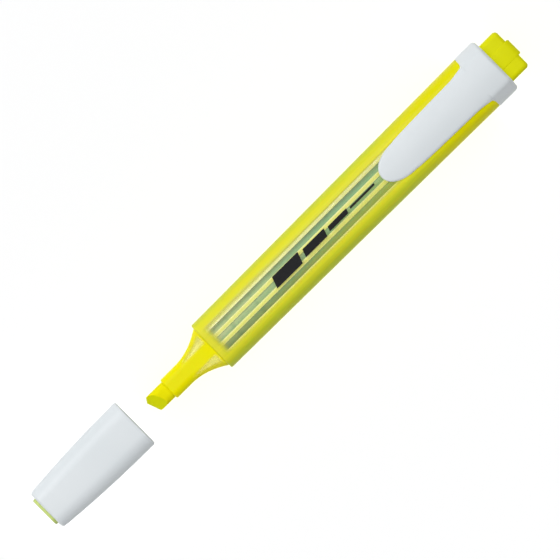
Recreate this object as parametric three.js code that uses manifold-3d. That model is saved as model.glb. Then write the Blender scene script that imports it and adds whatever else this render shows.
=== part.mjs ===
// A flat pocket highlighter with its cap pulled off, lying on its underside.
//
// Units are millimetres. +Z is up and +Y is across the pen. The pen's axis runs along X: the writing
// tip points to -X and the tail to +X. The origin is the centre of the whole object's footprint, on
// the surface that it lies on.
//
// Places along the pen are given from the barrel's front edge, the shoulder that the closed cap
// meets, and grow towards the tail. Places in the cap are given from its mouth, and grow towards its
// closed end.

import * as THREE from 'three';
import { mergeVertices } from 'three/addons/utils/BufferGeometryUtils.js';
import Module from 'manifold-3d';

const wasm = await Module();
wasm.setup();

// ---------------------------------------------------------------- driving dimensions

const BODY_HEIGHT = 11.2; // the flat body, from its underside to its top face
const AXIS_Z = BODY_HEIGHT / 2; // height of the pen's axis above the surface
const BODY_CORNER = 4.2; // corner radius of the body's cross-section
const FRONT_HALF_WIDTH = 7.3; // half the barrel's width at the shoulder
const REAR_HALF_WIDTH = 8.05; // half the barrel's width at the clip collar
const BARREL_WALL = 1.4;
const EDGE_ROUND = 0.4; // softened outer edges of the mouldings

const COLLAR_FRONT = 93.7; // clip collar, along the pen
const COLLAR_REAR = 100.4;
const TAIL_END = 106.05; // flat end of the end plug, without its raised band
const BAND_RISE = 0.75; // how far the band stands out of the plug's end
const NIB_TIP = -21.55;
const SLEEVE_MOUTH = -15.1; // front edge of the sleeve that holds the nib

const CAP_MOUTH = -26.95; // the cap lies this far in front of the shoulder
const CAP_LENGTH = 31.15;
const INLAY_RISE = 0.8; // how far the liner's coloured end stands out of the cap
const CAP_HALF_WIDTH = 7.2; // at the mouth
const CAP_END_HALF_WIDTH = 5.9; // at the closed end
const CAP_END_HALF_HEIGHT = 4.6;

const RESERVOIR_RADIUS = 3.6; // over the film
const RESERVOIR_START = 2.0;
const RESERVOIR_END = 77.6;
const FIT_GAP = 0.12; // clearance between parts that are pushed together
const ARC_STEPS = 6; // straight pieces in each rounded corner of a cross-section

const OBJECT_REAR = TAIL_END + BAND_RISE;
const OBJECT_FRONT = CAP_MOUTH - CAP_LENGTH - INLAY_RISE;
const SHOULDER_X = -(OBJECT_REAR + OBJECT_FRONT) / 2; // centres the object on the origin

// ---------------------------------------------------------------- geometry helpers

// A cross-section: a rounded rectangle in the YZ plane, as points that run anticlockwise.
// Its lower corners may have a radius of their own.
function section(halfWidth, halfHeight, corner, lowerCorner = corner, steps = ARC_STEPS) {
  const largest = Math.min(halfWidth, halfHeight) - 0.01;
  const quarters = [[1, 1, corner], [-1, 1, corner], [-1, -1, lowerCorner], [1, -1, lowerCorner]];
  return quarters.flatMap(([sideY, sideZ, radius], quarter) => {
    const r = Math.min(radius, largest);
    const start = (quarter * Math.PI) / 2;
    const arc = new THREE.EllipseCurve(
      sideY * (halfWidth - r), sideZ * (halfHeight - r), r, r, start, start + Math.PI / 2,
    );
    return arc.getPoints(steps);
  });
}

// The same cross-section moved up to a middle height.
function raised(points, middle) {
  return points.map((p) => new THREE.Vector2(p.x, p.y + middle));
}

// A closed solid through cross-sections with the same number of points: stations is a list of
// [place along X, points]. Two stations at one place make a step.
function loft(stations) {
  const count = stations[0][1].length;
  const positions = stations.flatMap(([x, points]) => points.flatMap((p) => [x, p.x, p.y]));
  const triangles = [];
  for (let ring = 0; ring + 1 < stations.length; ring += 1) {
    for (let i = 0; i < count; i += 1) {
      const a = ring * count + i;
      const b = ring * count + ((i + 1) % count);
      triangles.push(a, b, a + count, b, b + count, a + count);
    }
  }
  const last = (stations.length - 1) * count;
  for (const [a, b, c] of THREE.ShapeUtils.triangulateShape(stations[0][1], [])) {
    triangles.push(a, c, b);
  }
  for (const [a, b, c] of THREE.ShapeUtils.triangulateShape(stations.at(-1)[1], [])) {
    triangles.push(last + a, last + b, last + c);
  }
  const geometry = new THREE.BufferGeometry();
  geometry.setAttribute('position', new THREE.Float32BufferAttribute(positions, 3));
  geometry.setIndex(triangles);
  return geometry;
}

// A box given by its lowest and highest corners.
function block([x0, y0, z0], [x1, y1, z1]) {
  const box = new THREE.BoxGeometry(x1 - x0, y1 - y0, z1 - z0);
  return box.translate((x0 + x1) / 2, (y0 + y1) / 2, (z0 + z1) / 2);
}

// A plan outline in XY, extruded upwards from z0 to z1.
function upright(points, z0, z1) {
  const shape = new THREE.Shape(points);
  const options = { depth: z1 - z0, bevelEnabled: false, curveSegments: ARC_STEPS };
  return new THREE.ExtrudeGeometry(shape, options).translate(0, 0, z0);
}

// A three.js geometry as a solid that can be joined and cut.
function solid(geometry) {
  const bare = geometry.clone();
  bare.deleteAttribute('normal');
  bare.deleteAttribute('uv');
  const merged = mergeVertices(bare, 1e-5);
  return new wasm.Manifold(
    new wasm.Mesh({
      numProp: 3,
      vertProperties: new Float32Array(merged.attributes.position.array),
      triVerts: new Uint32Array(merged.index.array),
    }),
  );
}

function join(...geometries) {
  return geometries.map(solid).reduce((sum, piece) => sum.add(piece));
}

function cut(body, ...geometries) {
  return geometries.map(solid).reduce((rest, tool) => rest.subtract(tool), body);
}

// A solid as a named mesh in its own material.
function part(name, body, material) {
  const { vertProperties, triVerts } = body.getMesh();
  const geometry = new THREE.BufferGeometry();
  geometry.setAttribute('position', new THREE.BufferAttribute(new Float32Array(vertProperties), 3));
  geometry.setIndex(new THREE.BufferAttribute(new Uint32Array(triVerts), 1));
  geometry.computeVertexNormals();
  const mesh = new THREE.Mesh(geometry, material);
  mesh.name = name;
  return mesh;
}

const lerp = THREE.MathUtils.lerp;
const range = (count) => Array.from({ length: count }, (_, i) => i);

// ---------------------------------------------------------------- materials

const clearYellow = new THREE.MeshStandardMaterial({
  color: 0xdedb2e, roughness: 0.25, metalness: 0, transparent: true, opacity: 0.55,
});
const inkYellow = new THREE.MeshStandardMaterial({ color: 0xd8d900, roughness: 0.45, metalness: 0 });
const feltYellow = new THREE.MeshStandardMaterial({ color: 0xe8e200, roughness: 0.9, metalness: 0 });
const paleGrey = new THREE.MeshStandardMaterial({ color: 0xdde2e4, roughness: 0.4, metalness: 0 });
const wetFibre = new THREE.MeshStandardMaterial({ color: 0x8fb07a, roughness: 0.9, metalness: 0 });
const clearFilm = new THREE.MeshStandardMaterial({
  color: 0xcfe0c0, roughness: 0.15, metalness: 0, transparent: true, opacity: 0.35,
});

// ---------------------------------------------------------------- the pen

// The barrel: one flat tube, open at both ends, that widens slowly towards the tail. Its reduced
// rear end is a spigot for the clip collar, and ribs inside it carry the ink reservoir.
const BORE_HALF_HEIGHT = AXIS_Z - BARREL_WALL;
const BORE_CORNER = BODY_CORNER - BARREL_WALL;
const SPIGOT_HALF_WIDTH = REAR_HALF_WIDTH - 0.8;
const SPIGOT_HALF_HEIGHT = AXIS_Z - 0.7;
const SPIGOT_CORNER = BODY_CORNER - 0.7;
const SPIGOT_END = 98.0;

function barrelHalfWidth(along) {
  return lerp(FRONT_HALF_WIDTH, REAR_HALF_WIDTH, along / COLLAR_FRONT);
}

function makeBarrel() {
  const outside = (along, inset) =>
    section(barrelHalfWidth(along) - inset, AXIS_Z - inset, BODY_CORNER - inset);
  const spigot = section(SPIGOT_HALF_WIDTH, SPIGOT_HALF_HEIGHT, SPIGOT_CORNER);
  const bore = (along) =>
    section(barrelHalfWidth(along) - BARREL_WALL, BORE_HALF_HEIGHT, BORE_CORNER);
  const shell = loft([
    [0, outside(0, EDGE_ROUND)],
    [EDGE_ROUND * 0.3, outside(0, EDGE_ROUND * 0.3)],
    [EDGE_ROUND, outside(0, 0)],
    [COLLAR_FRONT, outside(COLLAR_FRONT, 0)],
    [COLLAR_FRONT, spigot],
    [SPIGOT_END, spigot],
  ]);
  const boreTool = loft([
    [-1, bore(0)],
    [SPIGOT_END - 1, bore(COLLAR_FRONT)],
    [SPIGOT_END + 1, bore(COLLAR_FRONT)],
  ]);
  return cut(solid(shell), boreTool).add(makeBarrelRibs());
}

// Ribs along the bore carry the reservoir: four over it, four under it and one on each side wall.
const RIB_START = 2.1;
const RIB_END = 77.4;
const RIB_WIDTH = 1.1;
const RIB_ROOT = 0.5; // how far a rib runs into the wall it stands on
const RIB_PITCH = 2.6;
const RIB_PLACES = [-1.5, -0.5, 0.5, 1.5].map((step) => step * RIB_PITCH);
const RIB_HEIGHT = 1.1; // of the outer ribs, which stand beside the reservoir
const RIB_TIP_RADIUS = RESERVOIR_RADIUS + FIT_GAP; // the others stop clear of the reservoir

function ribTip(y) {
  const nearest = Math.abs(y) - RIB_WIDTH / 2;
  const clear = Math.sqrt(Math.max(0, RIB_TIP_RADIUS ** 2 - nearest ** 2));
  return Math.max(clear, BORE_HALF_HEIGHT - RIB_HEIGHT);
}

function makeBarrelRibs() {
  const root = BORE_HALF_HEIGHT + RIB_ROOT;
  const ribs = [];
  for (const y of RIB_PLACES) {
    const [left, right] = [y - RIB_WIDTH / 2, y + RIB_WIDTH / 2];
    ribs.push(block([RIB_START, left, ribTip(y)], [RIB_END, right, root]));
    ribs.push(block([RIB_START, left, -root], [RIB_END, right, -ribTip(y)]));
  }
  const sideRoot = FRONT_HALF_WIDTH - 0.5; // inside the side wall at both ends of the rib
  ribs.push(block([RIB_START, RIB_TIP_RADIUS, -RIB_WIDTH / 2], [RIB_END, sideRoot, RIB_WIDTH / 2]));
  ribs.push(block([RIB_START, -sideRoot, -RIB_WIDTH / 2], [RIB_END, -RIB_TIP_RADIUS, RIB_WIDTH / 2]));
  return join(...ribs);
}

// The front section: a ring that fits the barrel's mouth, a hollow flare that runs out to a slim
// sleeve, and the channel through the sleeve that grips the nib.
const SLEEVE_HALF_WIDTH = 3.1;
const SLEEVE_HALF_HEIGHT = 2.95;
const SLEEVE_CORNER = 1.9;
const FLARE_START = -9.9; // where the sleeve starts to widen
const FLARE_END = -0.06; // back face of the flange, just clear of the barrel's end
const FLANGE_HALF_WIDTH = 6.35;
const FLANGE_HALF_HEIGHT = 4.72;
const FLANGE_CORNER = 3.3;
const FLARE_WALL = 0.85;
const FLARE_STEPS = 8;
const SKIRT_END = 1.85; // the ring that centres the front section in the bore
const NIB_HALF_WIDTH = 2.53;
const NIB_HALF_HEIGHT = 2.1;
const NIB_CORNER = 1.9;
const NIB_LOWER_CORNER = 0.45; // squarer below, where the writing edge is
const NIB_TAIL_HALF_WIDTH = 1.55;
const NIB_TAIL_HALF_HEIGHT = 1.5;
const NIB_TAIL_START = -8.8;
const NIB_TAIL_END = 7.5;
const CHANNEL_SPARE = 0.3; // the sleeve's channel runs on past the nib's thick part

// The flare's outline at a share t of its way, 0 at the sleeve and 1 at the flange: it widens with
// the square of the distance, and its section changes from nearly round to the body's flat shape.
function flareSection(t, inset = 0) {
  const grow = t * t;
  return section(
    lerp(SLEEVE_HALF_WIDTH, FLANGE_HALF_WIDTH, grow) - inset,
    lerp(SLEEVE_HALF_HEIGHT, FLANGE_HALF_HEIGHT, grow) - inset,
    lerp(SLEEVE_CORNER, FLANGE_CORNER, grow) - inset * 0.5,
  );
}

function makeFrontSection() {
  const shares = range(FLARE_STEPS + 1).map((i) => i / FLARE_STEPS);
  const place = (t) => lerp(FLARE_START, FLARE_END, t);
  const skirt = section(
    FRONT_HALF_WIDTH - BARREL_WALL - FIT_GAP, BORE_HALF_HEIGHT - FIT_GAP, BORE_CORNER - FIT_GAP,
  );
  const outside = loft([
    [SLEEVE_MOUTH, flareSection(0, EDGE_ROUND)],
    [SLEEVE_MOUTH + EDGE_ROUND * 0.6, flareSection(0, EDGE_ROUND * 0.15)],
    [SLEEVE_MOUTH + EDGE_ROUND * 1.6, flareSection(0)],
    ...shares.map((t) => [place(t), flareSection(t)]),
    [FLARE_END, skirt],
    [SKIRT_END, skirt],
  ]);
  const channelSection = section(
    NIB_HALF_WIDTH + FIT_GAP, NIB_HALF_HEIGHT + FIT_GAP, NIB_CORNER, NIB_LOWER_CORNER,
  );
  const channel = loft([
    [SLEEVE_MOUTH - 1, channelSection], [NIB_TAIL_START + CHANNEL_SPARE, channelSection],
  ]);
  const hollowEnd = section(
    FLANGE_HALF_WIDTH - 1.4, FLANGE_HALF_HEIGHT - 1.4, FLANGE_CORNER - 1.4,
  );
  const hollow = loft([
    ...shares.slice(1, -1).map((t) => [place(t), flareSection(t, FLARE_WALL)]),
    [FLARE_END, hollowEnd],
    [SKIRT_END + 1, hollowEnd],
  ]);
  return cut(solid(outside), channel, hollow, ...makeVentGrooves());
}

// Two shallow grooves over and under the nib let air in as ink leaves.
const VENT_HALF_WIDTH = 0.35;
const VENT_DEPTH = 0.25; // into the channel's wall

function makeVentGrooves() {
  const halfWidth = VENT_HALF_WIDTH;
  const depth = NIB_HALF_HEIGHT + FIT_GAP + VENT_DEPTH;
  return [
    block([SLEEVE_MOUTH - 1, -halfWidth, 0], [NIB_TAIL_START + 1, halfWidth, depth]),
    block([SLEEVE_MOUTH - 1, -halfWidth, -depth], [NIB_TAIL_START + 1, halfWidth, 0]),
  ];
}

// The nib: a bar of felt with a chisel end, and a thinner tail that reaches into the reservoir.
// The chisel is one long bevel that faces up, and its writing edge runs slantwise across the bar.
const BEVEL_FORWARD = 0.38; // the bevel moves forward by this much for each millimetre of +Y
const BEVEL_RISE = 0.73; // and back by this much for each millimetre of height
const BEVEL_CENTRE = -19.5; // where the bevel crosses the nib's axis
const TIP_Y = 1.15; // the foremost corner of the writing edge
const EDGE_BACK = -20.3; // where the edge leaves the bar on the -Y side
const EDGE_CHAMFER = -20.6; // and on the +Y side

function makeNib() {
  const bar = section(NIB_HALF_WIDTH, NIB_HALF_HEIGHT, NIB_CORNER, NIB_LOWER_CORNER);
  const tail = section(NIB_TAIL_HALF_WIDTH, NIB_TAIL_HALF_HEIGHT, NIB_TAIL_HALF_HEIGHT);
  const body = loft([
    [NIB_TIP - 0.5, bar],
    [NIB_TAIL_START, bar],
    [NIB_TAIL_START, tail],
    [NIB_TAIL_END, tail],
  ]);
  const planOutline = [
    new THREE.Vector2(NIB_TIP, TIP_Y),
    new THREE.Vector2(EDGE_BACK, -NIB_HALF_WIDTH - 0.01),
    new THREE.Vector2(NIB_TAIL_END + 1, -NIB_HALF_WIDTH - 0.01),
    new THREE.Vector2(NIB_TAIL_END + 1, NIB_HALF_WIDTH + 0.01),
    new THREE.Vector2(EDGE_CHAMFER, NIB_HALF_WIDTH + 0.01),
  ];
  const reach = 12; // size of the block whose lower face is the bevel
  const bevelTool = block([-reach, -reach, 0], [reach, reach, reach]);
  const normal = new THREE.Vector3(-1, -BEVEL_FORWARD, BEVEL_RISE).normalize();
  const turn = new THREE.Quaternion().setFromUnitVectors(new THREE.Vector3(0, 0, 1), normal);
  bevelTool.applyQuaternion(turn).translate(BEVEL_CENTRE, 0, 0);
  const trimmed = solid(body).intersect(solid(upright(planOutline, -AXIS_Z, AXIS_Z)));
  return cut(trimmed, bevelTool);
}

// The ink reservoir: a rod of fibre in a clear film, with a socket in its end for the nib's tail.
const FILM_WALL = 0.15;
const FIBRE_RADIUS = RESERVOIR_RADIUS - FILM_WALL - 0.1;
const ROUND_STEPS = 10; // pieces in each quarter of a round bar

function makeInkReservoir() {
  const rod = section(FIBRE_RADIUS, FIBRE_RADIUS, FIBRE_RADIUS, FIBRE_RADIUS, ROUND_STEPS);
  const socket = section(
    NIB_TAIL_HALF_WIDTH + FIT_GAP, NIB_TAIL_HALF_HEIGHT + FIT_GAP, NIB_TAIL_HALF_HEIGHT + FIT_GAP,
  );
  const body = loft([[RESERVOIR_START, rod], [RESERVOIR_END, rod]]);
  return cut(solid(body), loft([[0, socket], [NIB_TAIL_END + FIT_GAP, socket]]));
}

function makeReservoirFilm() {
  const tube = (radius) => section(radius, radius, radius, radius, ROUND_STEPS);
  const outside = loft([
    [RESERVOIR_START, tube(RESERVOIR_RADIUS)], [RESERVOIR_END, tube(RESERVOIR_RADIUS)],
  ]);
  const inner = tube(RESERVOIR_RADIUS - FILM_WALL);
  return cut(solid(outside), loft([[0, inner], [RESERVOIR_END + 1, inner]]));
}

// The end plug: a hollow plug pushed into the barrel, with a flange that the collar traps and a
// boss that shows behind it. A low band runs over the boss and across its end.
const BOSS_HALF_WIDTH = 6.1;
const BOSS_HALF_HEIGHT = 4.2;
const BOSS_CORNER = 1.3;
const BOSS_ROUND = 0.95; // rounding of the boss's end
const FLANGE_START = SPIGOT_END + 0.06;
const FLANGE_REAR = 99.0;
const STEM_START = RESERVOIR_END + 0.3;
const PLUG_WALL = 1.1;
const BAND_HALF_WIDTH = 2.2;
const BAND_PROUD = 0.1; // how far the band stands out of the boss's faces

function makeEndPlug() {
  const stemInset = BARREL_WALL + FIT_GAP;
  const stemHalfWidth = (along) => barrelHalfWidth(along) - stemInset;
  const stem = (halfWidth, inset) =>
    section(halfWidth - inset, AXIS_Z - stemInset - inset, BORE_CORNER - FIT_GAP - inset);
  const boss = (inset) =>
    section(BOSS_HALF_WIDTH - inset, BOSS_HALF_HEIGHT - inset, BOSS_CORNER - inset);
  const flange = section(
    SPIGOT_HALF_WIDTH - 0.05, SPIGOT_HALF_HEIGHT - 0.05, SPIGOT_CORNER - 0.05,
  );
  const rounding = range(4).map((i) => (i * Math.PI) / 6);
  const outside = loft([
    [STEM_START, stem(stemHalfWidth(STEM_START), 0.3)],
    [STEM_START + 0.6, stem(stemHalfWidth(STEM_START), 0)],
    [FLANGE_START, stem(stemHalfWidth(COLLAR_FRONT), 0)],
    [FLANGE_START, flange],
    [FLANGE_REAR, flange],
    [FLANGE_REAR, boss(0)],
    ...rounding.map((a) => [
      TAIL_END - BOSS_ROUND * (1 - Math.sin(a)), boss(BOSS_ROUND * (1 - Math.cos(a))),
    ]),
  ]);
  const bandSection = (halfWidth, proud) => section(halfWidth, BOSS_HALF_HEIGHT + proud, 0.4);
  const band = loft([
    [COLLAR_REAR + 0.3, bandSection(BAND_HALF_WIDTH, BAND_PROUD)],
    [TAIL_END - 0.8, bandSection(BAND_HALF_WIDTH, BAND_PROUD)],
    [TAIL_END + BAND_RISE * 0.5, bandSection(BAND_HALF_WIDTH, -0.25)],
    [TAIL_END + BAND_RISE, bandSection(BAND_HALF_WIDTH - 0.3, -0.75)],
  ]);
  const hollow = loft([
    [STEM_START - 1, stem(stemHalfWidth(STEM_START), PLUG_WALL)],
    [FLANGE_START, stem(stemHalfWidth(STEM_START), PLUG_WALL)],
    [TAIL_END - BOSS_ROUND, boss(PLUG_WALL)],
  ]);
  return cut(join(outside, band), hollow);
}

// The clip collar: a ring over the barrel's spigot. Its underside is level with the barrel's, and
// its top rises to a flat ridge that carries the pocket clip.
const COLLAR_PROUD = 0.15; // the collar stands this far out of the barrel's sides
const RIDGE_TOP = 13.9; // height of the ridge and clip above the surface
const RIDGE_HALF_WIDTH = 5.6;
const SHOULDER_RISE = 1.2; // height above the axis where the collar's sides start to slope in
const COLLAR_INNER_GAP = 0.1;
const REAR_WALL_START = 99.2; // the collar's rear wall, which holds the plug's flange
const COLLAR_REAR_ROUND = 1.0;

// The collar's outline: the body's flat underside and sides, closed over the top by sloping
// shoulders and a flat ridge.
function collarOutline(inset) {
  const halfWidth = REAR_HALF_WIDTH + COLLAR_PROUD - inset;
  const bottom = -AXIS_Z + inset;
  const top = RIDGE_TOP - AXIS_Z - inset;
  const ridge = RIDGE_HALF_WIDTH - inset * 0.5;
  const r = BODY_CORNER - inset;
  const shape = new THREE.Shape();
  shape.moveTo(halfWidth, bottom + r);
  shape.lineTo(halfWidth, SHOULDER_RISE);
  shape.bezierCurveTo(halfWidth, SHOULDER_RISE + 3, ridge + 0.9, top - 1.2, ridge + 0.1, top - 0.35);
  shape.quadraticCurveTo(ridge - 0.25, top, ridge - 0.8, top);
  shape.lineTo(-ridge + 0.8, top);
  shape.quadraticCurveTo(-ridge + 0.25, top, -ridge - 0.1, top - 0.35);
  shape.bezierCurveTo(-ridge - 0.9, top - 1.2, -halfWidth, SHOULDER_RISE + 3, -halfWidth, SHOULDER_RISE);
  shape.lineTo(-halfWidth, bottom + r);
  shape.absarc(-halfWidth + r, bottom + r, r, Math.PI, 1.5 * Math.PI);
  shape.lineTo(halfWidth - r, bottom);
  shape.absarc(halfWidth - r, bottom + r, r, 1.5 * Math.PI, 2 * Math.PI);
  return shape.getPoints(ARC_STEPS).slice(0, -1);
}

function makeClipCollar() {
  const rounding = range(4).map((i) => (i * Math.PI) / 6);
  const outside = loft([
    [COLLAR_FRONT + 0.06, collarOutline(0.15)],
    [COLLAR_FRONT + 0.3, collarOutline(0)],
    ...rounding.map((a) => [
      COLLAR_REAR - COLLAR_REAR_ROUND * (1 - Math.sin(a)),
      collarOutline(COLLAR_REAR_ROUND * (1 - Math.cos(a))),
    ]),
  ]);
  const socket = section(
    SPIGOT_HALF_WIDTH + COLLAR_INNER_GAP, SPIGOT_HALF_HEIGHT + COLLAR_INNER_GAP,
    SPIGOT_CORNER + COLLAR_INNER_GAP,
  );
  const window = section(BOSS_HALF_WIDTH + FIT_GAP, BOSS_HALF_HEIGHT + FIT_GAP, BOSS_CORNER);
  return cut(
    solid(outside),
    loft([[COLLAR_FRONT - 1, socket], [REAR_WALL_START, socket]]),
    loft([[REAR_WALL_START - 1, window], [COLLAR_REAR + 1, window]]),
  );
}

// The pocket clip: a spring tongue that is moulded with the collar and bends at its root. It is a
// flat strip with a round end, and a pad under its end presses on the barrel.
const CLIP_ROOT = COLLAR_FRONT - 0.25;
const CLIP_END = 60.05;
const CLIP_ROUND_LENGTH = 7.8; // length of the clip's round end
const CLIP_THICKNESS = 1.6;
const CLIP_DROP = 0.7; // the top face comes down by this much towards the end
const CLIP_ROOT_HALF_WIDTH = 5.2; // at the collar, without the spread
const CLIP_END_HALF_WIDTH = 4.5;
const CLIP_SPREAD = 0.5; // the clip widens by this much more, on each side, as it meets the collar
const CLIP_SPREAD_LENGTH = 5;
const CLIP_TIP_HALF_WIDTH = 0.9; // of the flat at the very end of the round end
const CLIP_STEPS = 6;
const PAD_START = CLIP_END + 2.2;
const PAD_LENGTH = 3.2;
const PAD_HALF_WIDTH = 2.6;
const PAD_GAP = 0.12; // between the pad and the barrel's top

function clipTop(along) {
  const share = (CLIP_ROOT - along) / (CLIP_ROOT - CLIP_END);
  return RIDGE_TOP - AXIS_Z - CLIP_DROP * share * share;
}

function clipSpread(along) {
  return CLIP_SPREAD * THREE.MathUtils.smoothstep(along, CLIP_ROOT - CLIP_SPREAD_LENGTH, CLIP_ROOT);
}

function makePocketClip() {
  const roundStart = CLIP_END + CLIP_ROUND_LENGTH;
  const places = range(CLIP_STEPS + 1).map((i) => {
    const angle = (i / CLIP_STEPS) * (Math.PI / 2);
    const along = roundStart - CLIP_ROUND_LENGTH * Math.cos(angle);
    return [along, Math.max(CLIP_END_HALF_WIDTH * Math.sin(angle), CLIP_TIP_HALF_WIDTH)];
  });
  for (const share of [0.25, 0.5, 0.8, 0.87, 0.94, 1]) {
    const along = lerp(roundStart, CLIP_ROOT, share);
    const halfWidth = lerp(CLIP_END_HALF_WIDTH, CLIP_ROOT_HALF_WIDTH, Math.sqrt(share));
    places.push([along, halfWidth + clipSpread(along)]);
  }
  const strip = loft(places.map(([along, halfWidth]) => [
    along,
    raised(section(halfWidth, CLIP_THICKNESS / 2, 0.5, 0.5, 2), clipTop(along) - CLIP_THICKNESS / 2),
  ]));
  const padSection = (lower, halfWidth) => {
    const top = clipTop(PAD_START) - CLIP_THICKNESS / 2;
    return raised(section(halfWidth, (top - lower) / 2, 0.3, 0.3, 2), (top + lower) / 2);
  };
  const padFoot = AXIS_Z + PAD_GAP;
  const pad = loft([
    [PAD_START, padSection(padFoot + 0.7, PAD_HALF_WIDTH - 0.4)],
    [PAD_START + PAD_LENGTH * 0.25, padSection(padFoot, PAD_HALF_WIDTH)],
    [PAD_START + PAD_LENGTH * 0.75, padSection(padFoot, PAD_HALF_WIDTH)],
    [PAD_START + PAD_LENGTH, padSection(padFoot + 0.7, PAD_HALF_WIDTH - 0.4)],
  ]);
  return join(strip, pad);
}

// ---------------------------------------------------------------- the cap

// Share of the cap's taper at a place from the mouth: it draws in slowly, with the square of the
// distance, towards the closed end.
const CAP_STRAIGHT = 2; // the mouth's straight stretch
const CAP_WALL = 0.72;
const CAP_END_WALL = 0.95;
const CAP_END_ROUND = 0.8;
const CAP_STEPS = 6;

function capSection(along, inset = 0) {
  const share = Math.max(0, along - CAP_STRAIGHT) / (CAP_LENGTH - CAP_STRAIGHT);
  const taper = share * share;
  return section(
    lerp(CAP_HALF_WIDTH, CAP_END_HALF_WIDTH, taper) - inset,
    lerp(AXIS_Z, CAP_END_HALF_HEIGHT, taper) - inset,
    lerp(BODY_CORNER, BODY_CORNER - 0.6, taper) - inset,
  );
}

// Cap stations run from the closed end to the mouth, so that they grow along X.
const capX = (along) => CAP_MOUTH - along;

const INLAY_HALF_WIDTH = 4.2;
const INLAY_HALF_HEIGHT = 2.9;
const INLAY_CORNER = 1.9;

function makeCapShell() {
  const places = range(CAP_STEPS).map((i) => (CAP_LENGTH - CAP_END_ROUND) * (1 - i / CAP_STEPS));
  const outside = loft([
    [capX(CAP_LENGTH), capSection(CAP_LENGTH, CAP_END_ROUND)],
    [capX(CAP_LENGTH - CAP_END_ROUND * 0.13), capSection(CAP_LENGTH, CAP_END_ROUND * 0.5)],
    [capX(CAP_LENGTH - CAP_END_ROUND * 0.5), capSection(CAP_LENGTH, CAP_END_ROUND * 0.13)],
    ...places.map((along) => [capX(along), capSection(along)]),
    [capX(EDGE_ROUND), capSection(EDGE_ROUND)],
    [capX(0), capSection(0, EDGE_ROUND * 0.7)],
  ]);
  const innerEnd = CAP_LENGTH - CAP_END_WALL;
  const inside = loft([
    ...range(CAP_STEPS).map((i) => {
      const along = innerEnd * (1 - i / CAP_STEPS);
      return [capX(along), capSection(along, CAP_WALL)];
    }),
    [capX(-1), capSection(0, CAP_WALL)],
  ]);
  const inlay = section(INLAY_HALF_WIDTH + FIT_GAP, INLAY_HALF_HEIGHT + FIT_GAP, INLAY_CORNER);
  const endHole = loft([[capX(CAP_LENGTH + 1), inlay], [capX(innerEnd - 1), inlay]]);
  return cut(solid(outside), inside, endHole);
}

// The cap liner: an inner cup in the ink's colour that seals round the nib sleeve. Fins centre it in
// the shell, and its closed end shows through the shell's end as the colour mark.
const LINER_MOUTH = 10.4;
const LINER_BORE_HALF_WIDTH = SLEEVE_HALF_WIDTH + FIT_GAP;
const LINER_BORE_HALF_HEIGHT = SLEEVE_HALF_HEIGHT + FIT_GAP;
const LINER_WALL = 0.85;
const LINER_END = CAP_LENGTH - CAP_END_WALL - 0.08; // its shoulder, against the shell's end wall
const LINER_FLOOR = 1.6; // thickness of the closed end, with the colour mark
const FIN_LENGTH = 12;
const FIN_HALF_THICKNESS = 0.35;
const FIN_GAP = 0.1; // between a fin and the shell

function makeCapLiner() {
  const cup = (inset) => section(
    LINER_BORE_HALF_WIDTH + LINER_WALL - inset, LINER_BORE_HALF_HEIGHT + LINER_WALL - inset,
    SLEEVE_CORNER + LINER_WALL - inset,
  );
  const shoulder = section(INLAY_HALF_WIDTH + 0.5, INLAY_HALF_HEIGHT + 0.7, INLAY_CORNER + 0.5);
  const inlay = (inset) =>
    section(INLAY_HALF_WIDTH - inset, INLAY_HALF_HEIGHT - inset, INLAY_CORNER - inset);
  const outside = loft([
    [capX(CAP_LENGTH + INLAY_RISE), inlay(0.3)],
    [capX(CAP_LENGTH + INLAY_RISE - 0.3), inlay(0)],
    [capX(LINER_END), inlay(0)],
    [capX(LINER_END), shoulder],
    [capX(LINER_END - 1.2), shoulder],
    [capX(LINER_END - 2.4), cup(0)],
    [capX(LINER_MOUTH + 0.5), cup(0)],
    [capX(LINER_MOUTH), cup(0.3)],
  ]);
  const bore = section(LINER_BORE_HALF_WIDTH, LINER_BORE_HALF_HEIGHT, SLEEVE_CORNER);
  const boreEnd = CAP_LENGTH + INLAY_RISE - LINER_FLOOR;
  const boreTool = loft([
    [capX(boreEnd), section(INLAY_HALF_WIDTH - 1.2, INLAY_HALF_HEIGHT - 0.6, INLAY_CORNER)],
    [capX(LINER_END - 2.4), bore],
    [capX(LINER_MOUTH - 1), bore],
  ]);
  return cut(join(outside, ...makeLinerFins()), boreTool);
}

// Four fins, at the sides and at the top and bottom, that reach almost to the shell.
function makeLinerFins() {
  const start = LINER_MOUTH + 1;
  const end = start + FIN_LENGTH;
  const share = (end - CAP_STRAIGHT) / (CAP_LENGTH - CAP_STRAIGHT);
  const reachY = lerp(CAP_HALF_WIDTH, CAP_END_HALF_WIDTH, share ** 2) - CAP_WALL - FIN_GAP;
  const reachZ = lerp(AXIS_Z, CAP_END_HALF_HEIGHT, share ** 2) - CAP_WALL - FIN_GAP;
  const half = FIN_HALF_THICKNESS;
  const fins = [];
  for (const side of [-1, 1]) {
    const y = [side * LINER_BORE_HALF_WIDTH, side * reachY].sort((a, b) => a - b);
    const z = [side * LINER_BORE_HALF_HEIGHT, side * reachZ].sort((a, b) => a - b);
    fins.push(block([capX(end), y[0], -half], [capX(start), y[1], half]));
    fins.push(block([capX(end), -half, z[0]], [capX(start), half, z[1]]));
  }
  return fins;
}

// ---------------------------------------------------------------- assembly

const pen = new THREE.Group();
pen.add(
  part('barrel', makeBarrel(), clearYellow),
  part('front_section', makeFrontSection(), clearYellow),
  part('nib', makeNib(), feltYellow),
  part('ink_reservoir', makeInkReservoir(), wetFibre),
  part('reservoir_film', makeReservoirFilm(), clearFilm),
  part('end_plug', makeEndPlug(), inkYellow),
  part('clip_collar', makeClipCollar(), paleGrey),
  part('pocket_clip', makePocketClip(), paleGrey),
);

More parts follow.
